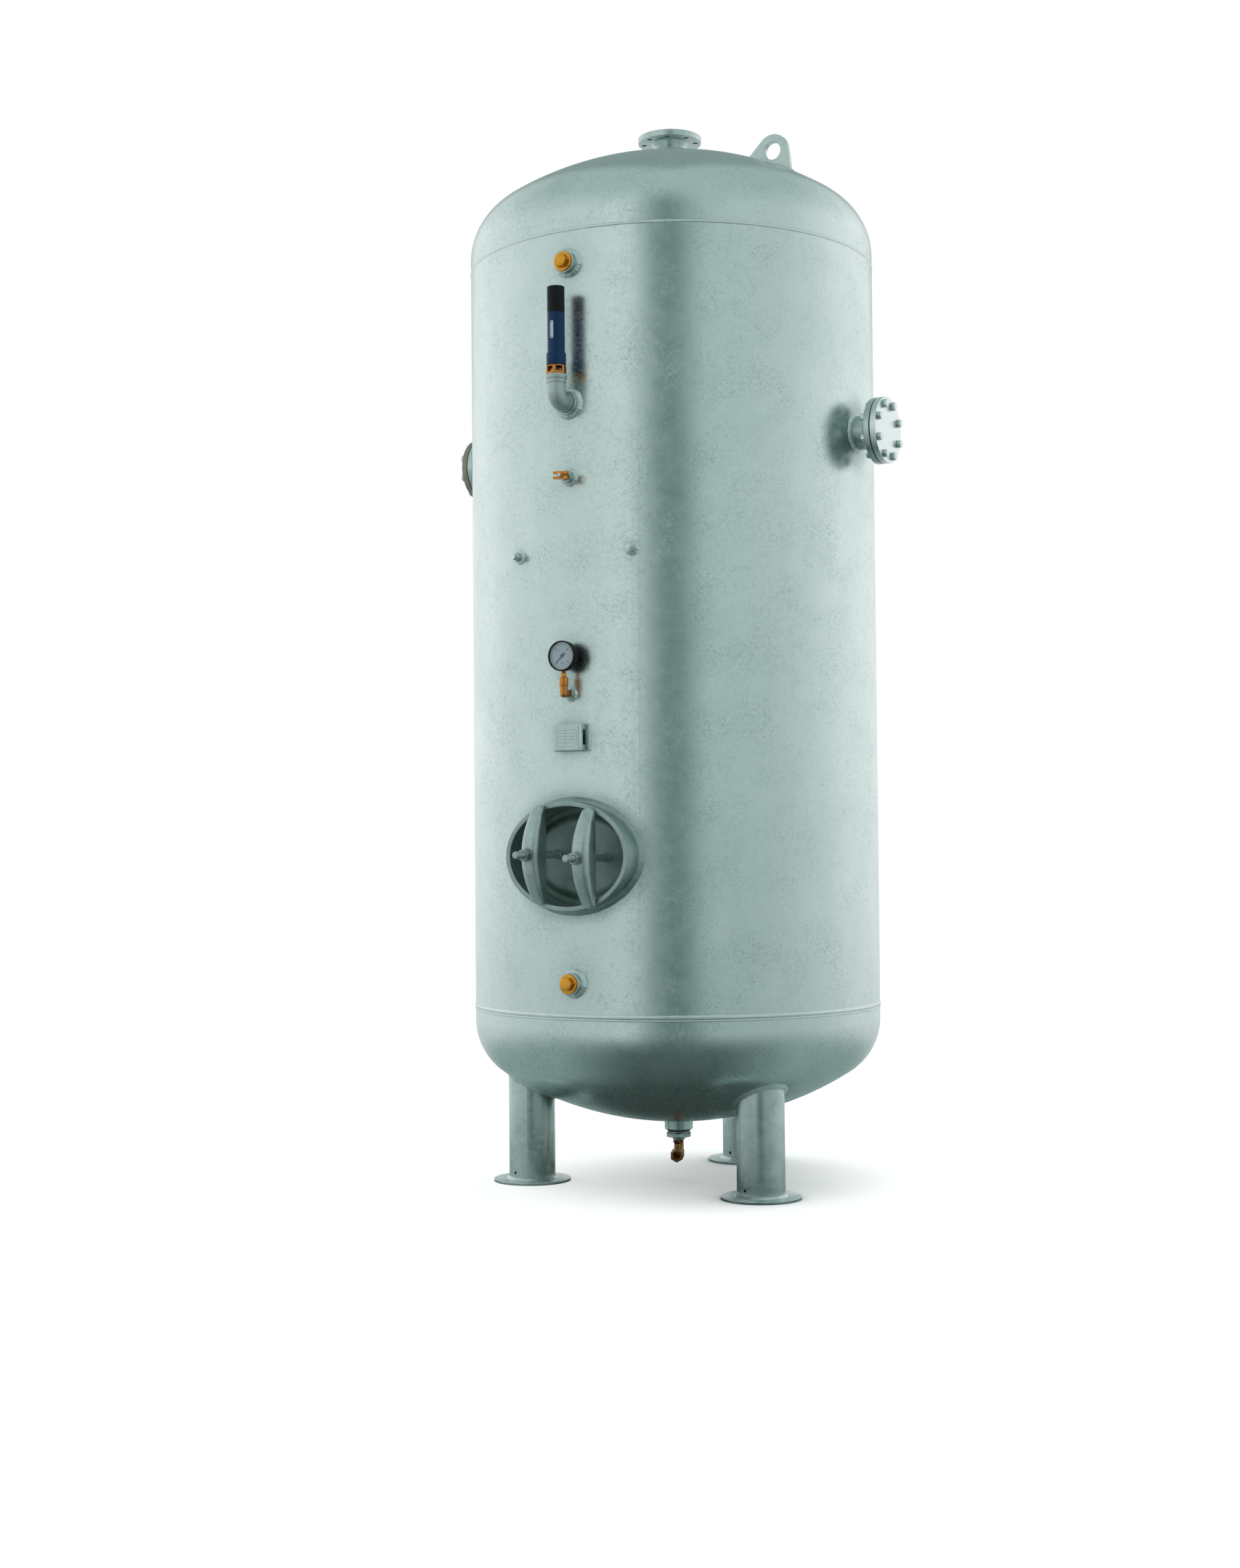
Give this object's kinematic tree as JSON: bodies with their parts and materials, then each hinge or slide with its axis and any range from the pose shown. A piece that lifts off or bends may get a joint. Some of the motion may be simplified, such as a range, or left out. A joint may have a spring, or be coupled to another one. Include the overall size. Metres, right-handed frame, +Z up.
{
  "type": "air receiver tank",
  "caption": "Upright galvanised air receiver on three pipe legs, with dished heads, flanged nozzles, an oval manway, a safety valve, a pressure gauge and a drain valve.",
  "frame": {"origin": "on the floor, at the centre of the whole part's box; the tank's own vertical axis stands 98.5 mm behind it, at +Y, because the manway studs reach out in front", "axes": "+Z up along the tank's axis; -Y is the front, where the line of fittings runs; +X and -X carry the two side nozzles"},
  "size_m": [1.6518, 1.603, 3.64],
  "materials": {
    "galvanised": "hot-dip galvanised, matt and mottled",
    "zinc": "bright zinc plated",
    "brass": "turned brass, slightly dull",
    "blue_paint": "glossy dark blue paint",
    "black_plastic": "satin black",
    "gasket": "matt dark grey",
    "spring_steel": "oiled spring steel",
    "dial": "matt pale blue-white",
    "glass": "clear",
    "red_plastic": "dark red dipped vinyl",
    "label": "plain etched aluminium"
  },
  "bodies": {
    "tank": {"shell": "galvanised", "top_head": "galvanised", "bottom_head": "galvanised", "top_nozzle": "galvanised", "right_nozzle": "galvanised", "left_nozzle": "galvanised", "right_lifting_lug": "galvanised", "left_lifting_lug": "galvanised", "upper_socket": "galvanised", "lower_socket": "galvanised", "safety_socket": "galvanised", "test_socket": "galvanised", "gauge_socket": "galvanised", "left_bracket_stud": "galvanised", "right_bracket_stud": "galvanised", "manway_ring": "galvanised", "nameplate_bracket": "galvanised", "front_right_leg": "galvanised", "front_left_leg": "galvanised", "rear_leg": "galvanised", "safety_elbow": "galvanised", "drain_bush": "galvanised", "right_blind_flange": "zinc", "left_blind_flange": "zinc", "test_screw": "zinc", "right_flange_bolt_1": "zinc", "right_flange_bolt_2": "zinc", "right_flange_bolt_3": "zinc", "right_flange_bolt_4": "zinc", "right_flange_bolt_5": "zinc", "right_flange_bolt_6": "zinc", "right_flange_bolt_7": "zinc", "right_flange_bolt_8": "zinc", "upper_plug": "brass", "lower_plug": "brass", "safety_valve_base": "brass", "test_flange": "brass", "gauge_elbow": "brass", "drain_elbow": "brass", "drain_valve_body": "brass", "right_gasket": "gasket", "left_gasket": "gasket", "gauge_case": "black_plastic", "safety_bonnet": "blue_paint", "safety_spring": "spring_steel", "gauge_dial": "dial", "gauge_glass": "glass", "nameplate": "label"},
    "drain_lever": {"drain_ball": "zinc", "drain_lever": "red_plastic", "drain_lever_nut": "zinc"},
    "gauge_pointer": {"gauge_pointer": "black_plastic"},
    "safety_disc": {"safety_disc": "brass"},
    "safety_cap": {"safety_cap": "black_plastic"},
    "manway_cover": {"manway_cover": "galvanised", "manway_gasket": "gasket"},
    "left_yoke": {"left_yoke": "galvanised", "left_yoke_nut": "zinc"},
    "right_yoke": {"right_yoke": "galvanised", "right_yoke_nut": "zinc"}
  },
  "joints": [
    {"name": "drain_lever_turn", "type": "hinge", "parent": "tank", "child": "drain_lever", "pos_m": [0.02758, 0.03656, 0.094], "axis": [0, 0, 1], "range_deg": [0, 90]},
    {"name": "gauge_pointer_turn", "type": "hinge", "parent": "tank", "child": "gauge_pointer", "pos_m": [0, -0.6485, 1.7653], "axis": [0, 1, 0], "range_deg": [0, 270], "stiffness_Nm_per_rad": 0.0005},
    {"name": "safety_disc_lift", "type": "slide", "parent": "tank", "child": "safety_disc", "axis": [0, 0, 1], "range_m": [0, 0.005], "stiffness_N_per_m": 3000, "springref_m": -0.002, "deforming": ["safety_spring"]},
    {"name": "safety_cap_turn", "type": "hinge", "parent": "tank", "child": "safety_cap", "pos_m": [0, -0.6795, 2.913], "axis": [0, 0, 1], "range_deg": [0, 180]},
    {"name": "manway_cover_slide", "type": "slide", "parent": "tank", "child": "manway_cover", "axis": [0, 1, 0], "range_m": [0, 0.08]},
    {"name": "left_yoke_slide", "type": "slide", "parent": "tank", "child": "left_yoke", "axis": [0, -1, 0], "range_m": [0, 0.05]},
    {"name": "right_yoke_slide", "type": "slide", "parent": "tank", "child": "right_yoke", "axis": [0, -1, 0], "range_m": [0, 0.05]}
  ]
}
